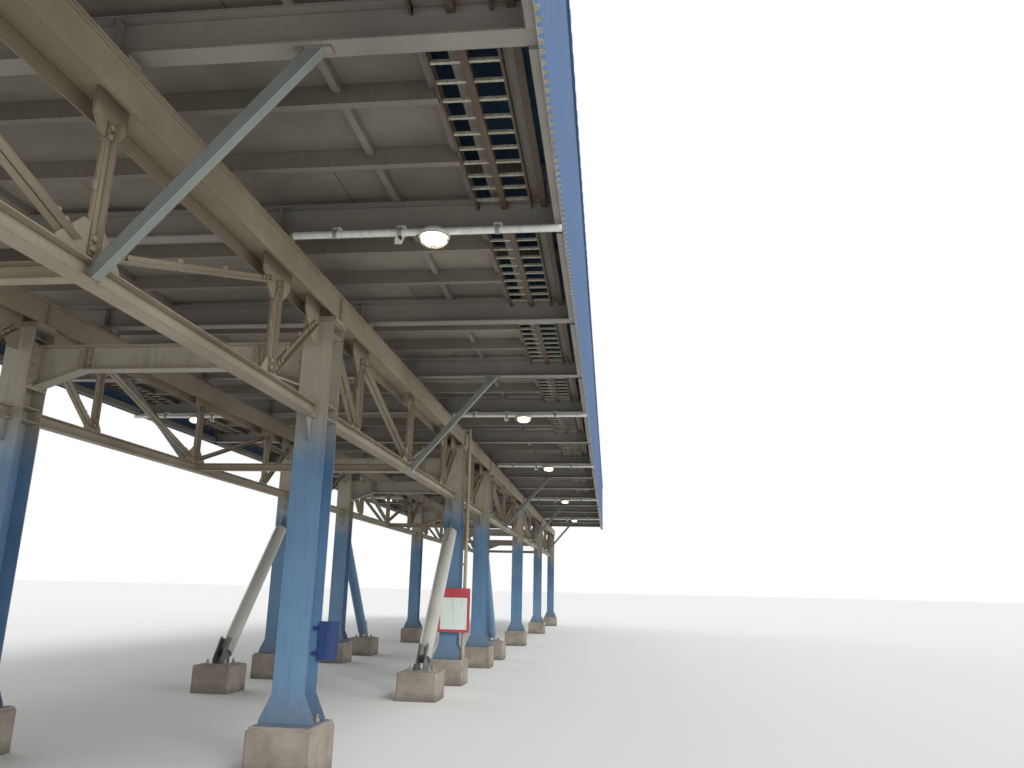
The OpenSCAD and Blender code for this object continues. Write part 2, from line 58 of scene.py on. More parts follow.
# A girder's bars end between these two levels.
LOW_Z = 3.268
CHORD_Z = 4.16
LEDGE_Z = 4.38
BEAM_TOP = 4.77
FLOOR_Z = 4.83
SHEET_X = 4.01
WALL_Z = 4.48
EAVES_Z = 6.46
RIDGE_RISE, HALF_SPAN = 0.40, 4.045
RIDGE_Z = EAVES_Z + RIDGE_RISE
SLOPE = math.atan2(RIDGE_RISE, HALF_SPAN)
RIB_PITCH = 0.09
ROOF_PITCH = 0.30
PIPE_Z = 4.445
PIPE_START = 1.755
LAMP_H = 0.07
LAMPS = [(x, y) for y in (-13.81, -6.61, -0.91, 6.29, 13.49) for x in (2.96, -2.85)]
CORD_LAMP = LAMPS[3]
DOWNPIPE = (1.845, -5.40)
DOWNPIPE_CLIPS = (0.888, 2.016, 3.064)
# The two clear widths between a cable ladder's rails, where its rungs show, and its outer rails
RUNG_BAYS = ((3.306, 3.496), (3.549, 3.739))
LADDER_RAILS = (3.299, 3.753)
LABEL_PLACE = (1.812, -12.335, 1.112)
UP = (0.0, 0.0, 1.0)


def nodes_of(bay):
    """Gives the fractions of a bay at which its girders have nodes and its floor has cross-beams."""
    return (1 / 2,) if bay == SHORT_BAY else (1 / 6, 1 / 2, 5 / 6)


BEAM_YS = [FRAME_YS[bay] + SPANS[bay] * part for bay in range(len(SPANS)) for part in nodes_of(bay)]


# ---------------------------------------------------------------- finishes
# Noise scales count patterns per metre: 0.9 gives clouds of about a metre, 16 patches of 60 mm, 90 specks of 11 mm.

def linear(code):
    """Turns an sRGB hex colour into the linear colour that Blender's sockets take."""
    parts = [int(code[i:i + 2], 16) / 255 for i in (1, 3, 5)]
    return tuple(c / 12.92 if c <= 0.04045 else ((c + 0.055) / 1.055) ** 2.4 for c in parts) + (1.0,)


def add(tree, kind, settings=None, links=None):
    """Adds a node with its settings and links, and returns it.

    Settings name properties or inputs; a hex colour is turned linear, and stops fill a colour ramp. Links name the
    inputs that other nodes feed, each from its first output in use, or from the output that a pair names.
    """
    node = tree.nodes.new("ShaderNode" + kind)
    for key, value in (settings or {}).items():
        if key == "stops":
            band = node.color_ramp
            while len(band.elements) < len(value):
                band.elements.new(0.5)
            for element, (position, code) in zip(band.elements, value):
                element.position = position
                element.color = linear(code)
        elif isinstance(key, str) and hasattr(node, key):
            setattr(node, key, value)
        else:
            node.inputs[key].default_value = linear(value) if isinstance(value, str) else value
    for key, source in (links or {}).items():
        if isinstance(source, tuple):
            output = source[0].outputs[source[1]]
        else:
            output = next(output for output in source.outputs if output.enabled)
        tree.links.new(output, node.inputs[key])
    return node


def new_material(name):
    """Starts a material and returns it with its tree and the output of its coordinates."""
    material = bpy.data.materials.new(name)
    material.use_nodes = True
    tree = material.node_tree
    tree.nodes.clear()
    return material, tree, (add(tree, "TexCoord"), "Object")


def surfaced(material, settings, links=None):
    """Ends a material with its surface shader, and returns it."""
    surface = add(material.node_tree, "BsdfPrincipled", settings, links)
    add(material.node_tree, "OutputMaterial", links={"Surface": surface})
    return material


def mottle(tree, place, pattern, stops):
    """Adds a noise of the given scale, detail and roughness, with a ramp of its tones, and returns both."""
    scale, detail, rough = pattern
    noise = add(tree, "TexNoise", {"Scale": scale, "Detail": detail, "Roughness": rough}, {"Vector": place})
    return noise, add(tree, "ValToRGB", {"stops": stops}, {"Fac": noise})


def ragged_level(tree, place, noise, weight, span, most=1.0):
    """Adds a mask that sets in from the first height of the span to the second, with the noise along its edge."""
    height = add(tree, "SeparateXYZ", links={"Vector": place})
    ragged = add(tree, "Math", {"operation": "MULTIPLY_ADD", 1: weight}, {0: noise, 2: (height, "Z")})
    return add(tree, "MapRange", {"From Min": span[0], "From Max": span[1], "To Max": most}, {"Value": ragged})


def streak(tree, place, paint, grime, fall, pattern, full, most):
    """Streaks the paint with grime, by a noise that is drawn out along its fall."""
    drawn = add(tree, "Mapping", {"Scale": fall}, {"Vector": place})
    scale, detail, rough = pattern
    noise = add(tree, "TexNoise", {"Scale": scale, "Detail": detail, "Roughness": rough}, {"Vector": drawn})
    dirty = add(tree, "MapRange", {"From Min": 0.5, "From Max": full, "To Max": most}, {"Value": noise})
    return add(tree, "Mix", {"data_type": "RGBA", 7: grime}, {0: dirty, 6: paint})


def worn_mask(tree, place, edge, amount):
    """Adds a mask of where paint is gone: along edges, broken up by a noise, and in small patches."""
    soft = add(tree, "Bevel", {"samples": 4, "Radius": edge})
    hard = add(tree, "NewGeometry")
    bend = add(tree, "VectorMath", {"operation": "DOT_PRODUCT"}, {0: soft, 1: (hard, "Normal")})
    near_edge = add(tree, "MapRange", {"From Min": 0.995, "From Max": 0.80}, {"Value": bend})
    patches = add(tree, "TexNoise", {"Scale": 16.0, "Detail": 8.0, "Roughness": 0.65}, {"Vector": place})
    broken = add(tree, "Math", {"operation": "MULTIPLY_ADD", 1: 0.55}, {0: near_edge, 2: patches})
    return add(tree, "MapRange", {"From Min": 0.98 - amount, "From Max": 1.06 - amount}, {"Value": broken})


def lamp_lit_upper_tone(tree, place, clouds, paint, band):
    """Changes the paint around one height to a paler, warmer tone over half a metre: painted lamp light on the columns'
    upper parts.
    """
    level, colour, faded = band
    wobble = add(tree, "TexNoise", {"Scale": 5.0, "Detail": 5.0}, {"Vector": place})
    above = ragged_level(tree, place, wobble, 0.25, (level, level + 0.5))
    tone = add(tree, "ValToRGB", {"stops": [(0.35, colour), (0.68, faded)]}, {"Fac": clouds})
    return add(tree, "Mix", {"data_type": "RGBA"}, {0: above, 6: paint, 7: tone})


def plate_tones(tree, place, paint, plates):
    """Gives each plate of a floor its own tone, with dirt in the seams between them."""
    across, along = plates
    shift = add(tree, "Mapping", {"Location": (across / 2, 0.0, 0.0)}, {"Vector": place})
    # The paint is multiplied by these, so they are shares and not colours.
    laid = add(tree, "TexBrick", {
        "offset": 0.5, "Color1": (0.74, 0.74, 0.74, 1.0), "Color2": (1.0, 1.0, 1.0, 1.0),
        "Mortar": (0.35, 0.32, 0.28, 1.0), "Scale": 1.0, "Mortar Size": 0.006, "Brick Width": across,
        "Row Height": along}, {"Vector": shift})
    return add(tree, "Mix", {"data_type": "RGBA", "blend_type": "MULTIPLY", 0: 1.0}, {6: paint, 7: laid})


def foot_grit(tree, place, paint, ground):
    """Splashes grit up a foot, thickest at the ground and gone half a metre above it."""
    spatter = add(tree, "TexNoise", {"Scale": 22.0, "Detail": 6.0, "Roughness": 0.7}, {"Vector": place})
    grit = ragged_level(tree, place, spatter, 0.6, (ground + 0.75, ground + 0.15), 0.6)
    return add(tree, "Mix", {"data_type": "RGBA", 7: "#6A6255"}, {0: grit, 6: paint})


def weathered_paint(name, colour, faded, grime="#4F4739", rust="#6B4228", rough=0.5, edge=0.01, wear=0.2,
                    rain=0.55, run=0.6, band=None, splash=None, plates=None):
    """Gives brushed paint on rolled steel, faded in clouds, streaked by rain, rusted at its edges and in patches."""
    material, tree, place = new_material(name)
    clouds, paint = mottle(tree, place, (0.9, 6.0, 0.6), [(0.35, colour), (0.68, faded)])
    # With a band, a paler and warmer top is painted on as lamp light.
    if band:
        paint = lamp_lit_upper_tone(tree, place, clouds, paint, band)
    if plates:
        paint = plate_tones(tree, place, paint, plates)
    # Rain leaves streaks that run down the face, each about a fifteenth as wide as it is long.
    fall = (15.0 / run, 15.0 / run, 1.0 / run)
    paint = streak(tree, place, paint, grime, fall, (1.0, 4.0, 0.55), 0.82, rain)
    if splash:
        paint = foot_grit(tree, place, paint, splash)
    # Rust shows at worn edges and in a few patches.
    gone = worn_mask(tree, place, edge, wear)
    speck, rusty = mottle(tree, place, (90.0, 3.0, 0.5), [(0.35, rust), (0.7, "#3A271D")])
    paint = add(tree, "Mix", {"data_type": "RGBA"}, {0: gone, 6: paint, 7: rusty})
    shine = add(tree, "MapRange", {"To Min": rough, "To Max": 0.9}, {"Value": gone})
    # Brush marks and pitting are a fraction of a millimetre deep.
    relief = add(tree, "Math", {"operation": "MULTIPLY_ADD", 1: -0.8}, {0: gone, 2: speck})
    bump = add(tree, "Bump", {"Strength": 0.35, "Distance": 0.0015}, {"Height": relief})
    return surfaced(material, {}, {"Base Color": paint, "Roughness": shine, "Normal": bump})


def coil_coated_sheet(name, colour, faded, fall=(9.0, 9.0, 0.5)):
    """Gives thin coil-coated steel sheet: smooth, a little glossy, chalked in clouds and streaked down its fall."""
    material, tree, place = new_material(name)
    clouds, tone = mottle(tree, place, (0.5, 5.0, 0.5), [(0.35, colour), (0.7, faded)])
    soiled = streak(tree, place, tone, "#3B4A5C", fall, (1.6, 5.0, 0.5), 0.85, 0.3)
    shine = add(tree, "MapRange", {"From Min": 0.3, "From Max": 0.7, "To Min": 0.55, "To Max": 0.7},
                {"Value": clouds})
    return surfaced(material, {"Specular IOR Level": 0.3}, {"Base Color": soiled, "Roughness": shine})


def galvanised(name, colour, dull):
    """Gives hot-dip galvanised steel gone dull, with a faint spangle about 12 mm across."""
    material, tree, place = new_material(name)
    spangle = add(tree, "TexVoronoi", {"Scale": 80.0}, {"Vector": place})
    grey = add(tree, "SeparateColor", links={"Color": (spangle, "Color")})
    tone = add(tree, "ValToRGB", {"stops": [(0.1, colour), (0.9, dull)]}, {"Fac": grey})
    clouds = add(tree, "TexNoise", {"Scale": 3.0, "Detail": 5.0}, {"Vector": place})
    dusty = add(tree, "MapRange", {"From Min": 0.45, "From Max": 0.7, "To Max": 0.5}, {"Value": clouds})
    soiled = add(tree, "Mix", {"data_type": "RGBA", 7: "#8C7F6A"}, {0: dusty, 6: tone})
    return surfaced(material, {"Metallic": 0.35, "Roughness": 0.5}, {"Base Color": soiled})


def cast_concrete(name, dark, middle, pale):
    """Gives cast concrete: grey-brown, speckled by its sand, darker where it stands in wet, with fine pits."""
    material, tree, place = new_material(name)
    clouds, tone = mottle(tree, place, (3.5, 8.0, 0.65), [(0.3, dark), (0.5, middle), (0.72, pale)])
    sand, grain = mottle(tree, place, (180.0, 2.0, 0.5), [(0.35, "#5E574E"), (0.65, "#B0A89C")])
    mixed = add(tree, "Mix", {"data_type": "RGBA", 0: 0.25}, {6: tone, 7: grain})
    wet = ragged_level(tree, place, clouds, 0.16, (0.22, 0.10), 0.55)
    stained = add(tree, "Mix", {"data_type": "RGBA", 7: "#4A443C"}, {0: wet, 6: mixed})
    bump = add(tree, "Bump", {"Strength": 0.5, "Distance": 0.003}, {"Height": sand})
    return surfaced(material, {"Roughness": 0.9}, {"Base Color": stained, "Normal": bump})


def frosted_glass(name):
    """Gives frosted glass with a warm lamp on behind it, so that it glows a little unevenly."""
    material, tree, place = new_material(name)
    ripple = add(tree, "TexNoise", {"Scale": 60.0, "Detail": 2.0}, {"Vector": place})
    glow = add(tree, "MapRange", {"To Min": 4.6, "To Max": 5.4}, {"Value": ripple})
    return surfaced(material, {"Base Color": "#F4F1E6", "Roughness": 0.35, "Emission Color": "#FFF3D6"},
                    {"Emission Strength": glow})


def moulded_rubber(name, dark, pale):
    """Gives moulded rubber, near black, with a soft sheen over a grain of about 8 mm."""
    material, tree, place = new_material(name)
    tone = mottle(tree, place, (120.0, 2.0, 0.5), [(0.3, dark), (0.7, pale)])[1]
    return surfaced(material, {"Roughness": 0.55}, {"Base Color": tone})


# ---------------------------------------------------------------- modelling helpers

def clear():
    """Leaves nothing selected, so that an operator acts only on the piece in hand."""
    bpy.ops.object.select_all(action="DESELECT")


def select(piece):
    """Leaves the piece alone selected."""
    clear()
    piece.select_set(True)
    bpy.context.view_layer.objects.active = piece


def begin(name, primitive, scale=(1.0, 1.0, 1.0), **settings):
    """Adds a primitive, names it, puts its place and its scale in its mesh and opens it in edit mode."""
    clear()
    primitive(**settings)
    piece = bpy.context.active_object
    piece.name = name
    piece.scale = scale
    bpy.ops.object.transform_apply(location=True, rotation=True, scale=True)
    bpy.ops.object.mode_set(mode="EDIT")
    return piece


def pick(piece, kind, test):
    """Selects, in edit mode, the faces, edges or vertices whose middle and direction pass the test."""
    bpy.ops.mesh.select_mode(type=kind)
    bpy.ops.mesh.select_all(action="DESELECT")
    mesh = bmesh.from_edit_mesh(piece.data)
    for part in {"FACE": mesh.faces, "EDGE": mesh.edges, "VERT": mesh.verts}[kind]:
        points = [part.co] if kind == "VERT" else [vertex.co for vertex in part.verts]
        way = (points[1] - points[0]).normalized() if kind == "EDGE" else part.normal
        if test(sum(points, Vector()) / len(points), way):
            part.select_set(True)
    mesh.select_flush_mode()
    bmesh.update_edit_mesh(piece.data)


def cut(place, way, **settings):
    """Cuts all of the open piece along the plane through the place."""
    bpy.ops.mesh.select_all(action="SELECT")
    bpy.ops.mesh.bisect(plane_co=place, plane_no=way, **settings)


def raise_faces(height):
    """Pulls the picked faces straight up."""
    bpy.ops.mesh.extrude_region_move(TRANSFORM_OT_translate={"value": (0.0, 0.0, height)})


def close(piece):
    """Leaves edit mode, with the piece alone selected."""
    bpy.ops.object.mode_set(mode="OBJECT")
    select(piece)
    return piece


def modify(piece, kind, **settings):
    """Adds a modifier to the piece and applies it."""
    select(piece)
    modifier = piece.modifiers.new("shape", kind)
    for key, value in settings.items():
        setattr(modifier, key, value)
    bpy.ops.object.modifier_apply(modifier=modifier.name)


def aimed(place, direction, roll=0.0):
    """Gives the matrix that takes the origin to the place and the Z axis to the direction."""
    turn = Vector(direction).to_track_quat("Z", "Y").to_matrix().to_4x4()
    return Matrix.Translation(place) @ turn @ Matrix.Rotation(math.radians(roll), 4, "Z")


def finish_piece(piece, material):
    """Gives the piece its material, its body and the slot that it takes its finish from."""
    piece.data.materials.clear()
    piece.data.materials.append(material)
    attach(piece, "root")


def repeat(pattern, places, name, material):
    """Copies the pattern to each place, each copy with its own mesh, joins the copies as one piece and finishes it."""
    copies = []
    for place in places:
        copy = pattern.copy()
        copy.data = pattern.data.copy()
        copy.data.transform(place)
        bpy.context.scene.collection.objects.link(copy)
        copies.append(copy)
    clear()
    for copy in copies:
        copy.select_set(True)
    bpy.context.view_layer.objects.active = copies[0]
    bpy.ops.object.join()
    piece = bpy.context.active_object
    piece.name = name
    finish_piece(piece, material)


def put_away(*patterns):
    """Removes the patterns once all their copies are made."""
    for pattern in patterns:
        bpy.data.objects.remove(pattern)


def plate(name, size, chamfer):
    """Models a flat plate of the given size about the origin, with its edges broken."""
    piece = begin(name, bpy.ops.mesh.primitive_cube_add, size, size=1.0)
    pick(piece, "EDGE", lambda middle, way: True)
    bpy.ops.mesh.bevel(offset=chamfer, segments=1, affect="EDGES")
    return close(piece)


def hex_bolt(name, across, head, tail=0.0):
    """Models a hexagon head with a chamfered crown on its washer, pointing up, with the bolt's end where asked."""
    washer = 0.003
    piece = begin(name, bpy.ops.mesh.primitive_cylinder_add, vertices=6, radius=across / math.sqrt(3), depth=head,
                  location=(0.0, 0.0, washer + head / 2))
    pick(piece, "FACE", lambda middle, normal: normal.z > 0.9)
    bpy.ops.mesh.inset(thickness=across * 0.1, depth=across * 0.07)
    bpy.ops.mesh.select_all(action="DESELECT")
    # The washer stands a millimetre into what it is tightened on.
    bpy.ops.mesh.primitive_cylinder_add(vertices=12, radius=across * 0.62, depth=washer + 0.001,
                                        location=(0.0, 0.0, 0.001))
    if tail:
        bpy.ops.mesh.primitive_cylinder_add(vertices=8, radius=across * 0.3, depth=head + tail,
                                            location=(0.0, 0.0, (head + tail) / 2 + washer))
    return close(piece)


def dress(prefixes, material, test=None):
    """Puts a material on the CAD nodes whose names start with a prefix.

    With a test it is their second material, on the faces whose middle and direction pass the test.
    """
    for name in sorted(NODES):
        if not name.startswith(prefixes):
            continue
        mesh = NODES[name].data
        if test is None:
            mesh.materials.clear()
        mesh.materials.append(material)
        for face in mesh.polygons:
            if test is None or test(face.center, face.normal):
                face.material_index = len(mesh.materials) - 1


# ---------------------------------------------------------------- sizes and colours

class GallerySizes(bpy.types.PropertyGroup):
    """Sizes of the pieces that the finish adds, and of the view."""
    bolt: FloatProperty(name="Bolt", description="Width across a girder bolt's flats", default=0.036, unit="LENGTH")
    anchor: FloatProperty(name="Anchor", description="Width across an anchor's flats", default=0.046, unit="LENGTH")
    screw: FloatProperty(name="Screw", description="Width across a panel screw's flats", default=0.016, unit="LENGTH")
    packer: FloatVectorProperty(name="Packer", description="Length, width and thickness of a packing plate",
                                subtype="XYZ_LENGTH", default=(0.060, 0.085, 0.012))
    pad: FloatVectorProperty(name="Grout pad", description="Side and height of a grout pad", size=2,
                             default=(0.56, 0.018))
    glass: FloatProperty(name="Glass", description="Radius of a lamp's glass", default=0.104, unit="LENGTH")
    cord: FloatProperty(name="Lamp cord", description="Diameter of a lamp's cord", default=0.014, unit="LENGTH")
    board: FloatVectorProperty(name="Board", description="Width, thickness and height of the framed board",
                               subtype="XYZ_LENGTH", default=(0.56, 0.022, 0.74))
    label: FloatVectorProperty(name="Label", description="Width, thickness and height of the small plate",
                               subtype="XYZ_LENGTH", default=(0.19, 0.006, 0.34))
    lens: FloatProperty(name="Lens", description="Focal length on a 36 mm wide sensor", default=28.412)
    eye: FloatVectorProperty(name="Eye", description="Where the viewer stands", subtype="TRANSLATION",
                             default=(4.375, -19.83, 1.6))
    turn: FloatVectorProperty(name="Turn", description="Which way the viewer looks, in degrees",
                              default=(104.2852, -1.2593, 6.6995))


class GalleryColours(bpy.types.PropertyGroup):
    """Colours that a user would change, as sRGB hex values."""
    column: StringProperty(name="Columns", description="Paint of the columns", default="#527899")
    upper: StringProperty(name="Girders", description="Paint of the girders", default="#8B806D")
    sheet: StringProperty(name="Sheets", description="Coating of the walls", default="#3F5C80")


# ---------------------------------------------------------------- operators

def on_raker_plate(middle, way):
    """Tells the faces of a near raker's head brackets and of its shoe's two cheeks from those of its pipe."""
    off = abs(abs(middle.x) - ROW_X)
    head = abs(way.x) > 0.99 and off < 0.08
    cheek = middle.z < 0.8 and abs(way.x) < 0.01 and abs(off - 0.06) < 0.01
    return head or cheek


class GALLERY_OT_paint_steel(bpy.types.Operator):
    """Paints the columns, girders, beams, floor, sheets and plinths"""
    bl_idname = "gallery.paint_steel"
    bl_label = "Paint the steelwork"

    def execute(self, context):
        colours = context.scene.gallery_colours
        # Satin alkyd paint on the columns, blue, with painted lamp light that turns them a pale warm grey above about 3
        # m.
        dress("portal_", weathered_paint(
            "satin_blue_column_paint", colours.column, "#6A8CAC", "#34465A", rough=0.42, edge=0.012, wear=0.14,
            rain=0.35, splash=PLINTH_TOP, band=(2.82, "#9C9585", "#B3AC9B")))
        # Buff alkyd paint, chalked, with rust-brown edges, on the girders and the upright pipe.
        dress(("trusses_", "downpipe"), weathered_paint(
            "chalked_buff_girder_paint", colours.upper, "#A59B86", rain=0.25, run=0.2))
        # A greyer, sootier coat on the cross-beams and the house's frames.
        dress(("crossbeams_", "wall_frame_", "roof_frame_"), weathered_paint(
            "sooted_grey_beam_paint", "#86827A", "#9B968C", "#4A4439", rough=0.55, rain=0.25, run=0.2))
        # The knee braces under the beams are a thin green-grey, worn back to their primer.
        brace = weathered_paint("bleached_grey_brace_paint", "#6E7470", "#868C88", "#3F4240", edge=0.008, rain=0.2)
        dress("crossbeams_", brace, lambda middle, way: middle.z < LEDGE_Z)
        # Pale grey gloss on the near rakers, so that each pipe carries a long highlight.
        dress("rakers_near", weathered_paint(
            "pale_grey_gloss_pipe_paint", "#A2A29B", "#BAB9B0", "#66635A", "#75482B", rough=0.28, edge=0.003,
            wear=0.12, rain=0.15, run=0.3, splash=PLINTH_TOP))
        # Dark grey satin on their plates, which stand out against the pipes; the dark grey is partly a painted shade,
        # for the shadow in the slot between a pipe's head and its column.
        dress("rakers_near", weathered_paint(
            "dark_grey_plate_paint_and_shade", "#4D5054", "#666A6E", "#33332F", "#75482B", rough=0.45, edge=0.006),
            on_raker_plate)
        # The columns' satin blue on the far rakers.
        dress("rakers_far", weathered_paint(
            "satin_blue_raker_paint", colours.column, "#6C8BA6", "#3A4A58", rough=0.4, edge=0.003, wear=0.12,
            splash=PLINTH_TOP))
        # Matt grey paint on the floor's steel, dulled by dust.
        dress("deck", weathered_paint(
            "stained_grey_plate_paint", "#777167", "#8B8477", "#3F3B34", "#5E4433", rough=0.6, edge=0.008,
            rain=0.3))
        # Under the floor plates the same paint is stained by what leaks through, and no two plates match.
        under = weathered_paint(
            "stained_floor_plate_paint", "#7E786D", "#A09888", "#3F3B34", "#5E4433", rough=0.6, edge=0.008,
            wear=0.24, rain=0.3, run=0.2, plates=(2.19, 1.2))
        dress("deck", under, lambda middle, way: middle.z > FLOOR_Z - 0.001 and abs(way.z) > 0.9)
        # The ladders' rails are a matt dark brown, rusted at their edges; the dark brown is a painted shade for the
        # shadow they lie in.
        dress("cable_ladder_", weathered_paint(
            "shaded_brown_ladder_rail", "#54463A", "#6B5B4B", "#332C25", "#5E3A24", rough=0.65, edge=0.006,
            wear=0.3))
        # Their rungs are a pale, dull zinc, a painted light, so that they read as bright lamp-lit bars.
        dress("cable_ladder_", galvanised("lamp_lit_pale_rung", "#C6C0AE", "#A39D8D"),
              lambda middle, way: any(low < abs(middle.x) < high for low, high in RUNG_BAYS))
        # Blue coil-coated sheets, even and faintly glossy.
        walls = ("wall_outer", "wall_inner")
        dress(walls, coil_coated_sheet("blue_coil_coated_wall", colours.sheet, "#4E6A90"))
        # A pale zinc grey on their lower ends, a painted light: it stands for the lamp-lit insides of the ribs, which
        # show as bright teeth from below.
        dress(walls, galvanised("pale_lit_rib_hollow", "#B9B6AA", "#98958B"), lambda middle, way: way.z < -0.9)
        # The roof's sheets, paler from the sun, are streaked down their slope.
        dress(("roof_outer", "roof_inner"), coil_coated_sheet(
            "blue_coil_coated_roof", "#4D6C8F", "#5B7B9C", (0.5, 9.0, 9.0)))
        # Cast concrete, a warm grey-brown with sand and pits.
        dress("plinths_", cast_concrete("cast_concrete_plinth", "#6F675C", "#8B8277", "#A39A8E"))
        return {"FINISHED"}


class GALLERY_OT_paint_lamps(bpy.types.Operator):
    """Finishes the floodlights"""
    bl_idname = "gallery.paint_lamps"
    bl_label = "Finish the floodlights"

    def execute(self, context):
        # Baked enamel on the housings, a clean white with a soft gloss.
        dress("lamps_", weathered_paint(
            "white_lamp_enamel", "#E4E4DE", "#F1F1EC", "#A8A498", "#8A6A4E", rough=0.3, edge=0.004, wear=0.08))
        return {"FINISHED"}


class GALLERY_OT_fit_bolts(bpy.types.Operator):
    """Fits the bolts and packing plates of the girders, ties, cross-beams and bases"""
    bl_idname = "gallery.fit_bolts"
    bl_label = "Fit the bolts"

    def girder_bars(self, bay):
        """Gives the two ends of each bar of a girder, along and up, each clear of its node by its gusset."""
        length = SPANS[bay]
        post_foot, post_head = LOW_Z + 0.041, CHORD_Z - 0.043
        bars = [((part * length, post_foot), (part * length, post_head)) for part in nodes_of(bay)]
        near_corner, far_corner = (0.28, CHORD_Z - 0.105), (length - 0.28, CHORD_Z - 0.105)
        if bay == SHORT_BAY:
            off, foot = 0.11, LOW_Z + 0.097
            return bars + [(near_corner, (length / 2 - off, foot)), ((length / 2 + off, foot), far_corner)]
        first, middle, last = (part * length for part in nodes_of(bay))
        outer, outer_foot = 0.055, LOW_Z + 0.067
        off, foot = 0.135, LOW_Z + 0.093
        inner, inner_head = 0.125, CHORD_Z - 0.083
        return bars + [(near_corner, (first - outer, outer_foot)),
                       ((first + inner, inner_head), (middle - off, foot)),
                       ((middle + off, foot), (last - inner, inner_head)),
                       ((last + outer, outer_foot), far_corner)]

    def fit_girder(self, bay, bolt, packer, paint):
        """Bolts the bars of one bay's two girders, and fits packers between the two angles of each bar."""
        sunk, face_off, short_bar = 0.004, 0.014, 0.9
        heads, packers = [], []
        for row in (-1, 1):
            for start, end in self.girder_bars(bay):
                start, end = Vector((0.0, *start)), Vector((0.0, *end))
                way = (end - start).normalized()
                side_way = Vector((0.0, way.z, -way.y))
                length = (end - start).length
                base = Vector((row * ROW_X, FRAME_YS[bay], 0.0)) + start - side_way * sunk
                steps = (0.035, 0.095) if length < short_bar else (0.05, 0.12, 0.19)
                for step in [*steps, *(length - step for step in steps)]:
                    for face in (-1, 1):
                        spot = base + way * step + Vector((face * face_off, 0.0, 0.0))
                        heads.append(aimed(spot, (face, 0.0, 0.0), 10.0))
                turn = Matrix((way, side_way, Vector((1.0, 0.0, 0.0)))).transposed().to_4x4()
                for part in (1 / 2,) if length < short_bar else (0.36, 0.64):
                    packers.append(Matrix.Translation(base + way * length * part - side_way * sunk) @ turn)
        repeat(bolt, heads, f"girder_bolts_{bay + 1}", paint)
        repeat(packer, packers, f"girder_packers_{bay + 1}", paint)

    def execute(self, context):
        sizes = context.scene.gallery_sizes
        # High-strength bolts brushed over with the girder's paint, rusted through at their corners.
        painted = weathered_paint(
            "overpainted_bolt_steel", "#8F8775", "#A79E8A", "#5B5243", rough=0.45, edge=0.003, wear=0.26)
        # Zinc gone dull and dusty on the anchors, which were never painted.
        zinc = galvanised("dull_zinc_anchor_steel", "#9D9B93", "#7F7C73")
        bolt = hex_bolt("bolt_pattern", sizes.bolt, sizes.bolt * 0.42)
        nut = hex_bolt("nut_pattern", sizes.bolt, sizes.bolt * 0.5, tail=0.014)
        anchor = hex_bolt("anchor_pattern", sizes.anchor, sizes.anchor * 0.55, tail=0.035)
        packer = plate("packer_pattern", sizes.packer, 0.002)
        for bay in range(len(SPANS)):
            self.fit_girder(bay, bolt, packer, painted)

        # The ties' end plates are bolted to the columns, and their webs are spliced where the haunches start.
        tie_end, splice, web = 1.42, 0.925, 0.0145
        ties = [aimed((side * tie_end, y + off, z), (-side, 0.0, 0.0))
                for y in FRAME_YS for side in (-1, 1) for z in (3.50, 3.60, 3.70, 3.80, 3.90) for off in (-0.11, 0.11)]
        splices = [aimed((side * splice + off, y + face * web, z), (0.0, face, 0.0)) for y in FRAME_YS
                   for side in (-1, 1) for off in (-0.042, 0.042) for z in (3.72, 3.79, 3.86) for face in (-1, 1)]
        # Two chords meet over each column, and an end plate closes the last ones.
        joint_z, joint_face, end_face = LEDGE_Z - 0.185, 0.024, END_Y + 0.001
        joints = [aimed((side * ROW_X + off, face * end_face if abs(y + face) > END_Y else y + face * joint_face,
                         joint_z), (0.0, face, 0.0))
                  for y in FRAME_YS for side in (-1, 1) for off in (-0.10, -0.035, 0.035, 0.10) for face in (-1, 1)]
        seats = [aimed((side * ROW_X + dx, y + dy, LEDGE_Z + 0.035), UP, 12.0)
                 for y in BEAM_YS for side in (-1, 1) for dx in (-0.126, 0.126) for dy in (-0.045, 0.045)]
        anchors = [aimed((side * ROW_X + dx, y + dy, BASE_TOP), UP, 20.0 * dx)
                   for y in FRAME_YS for side in (-1, 1) for dx in (-0.2, 0.2) for dy in (-0.075, 0.075)]
        anchors += [aimed((side * ROW_X + dx, y + dy, SHOE_TOP), UP, 15.0)
                    for y in SHOE_YS for side in (-1, 1) for dx in (-0.14, 0.14) for dy in (-0.14, 0.14)]
        repeat(bolt, ties, "tie_end_bolts", painted)
        repeat(bolt, splices, "tie_splice_bolts", painted)
        repeat(bolt, joints, "chord_joint_bolts", painted)
        repeat(nut, seats, "beam_seat_nuts", painted)
        repeat(anchor, anchors, "anchor_nuts", zinc)
        put_away(bolt, nut, anchor, packer)
        return {"FINISHED"}


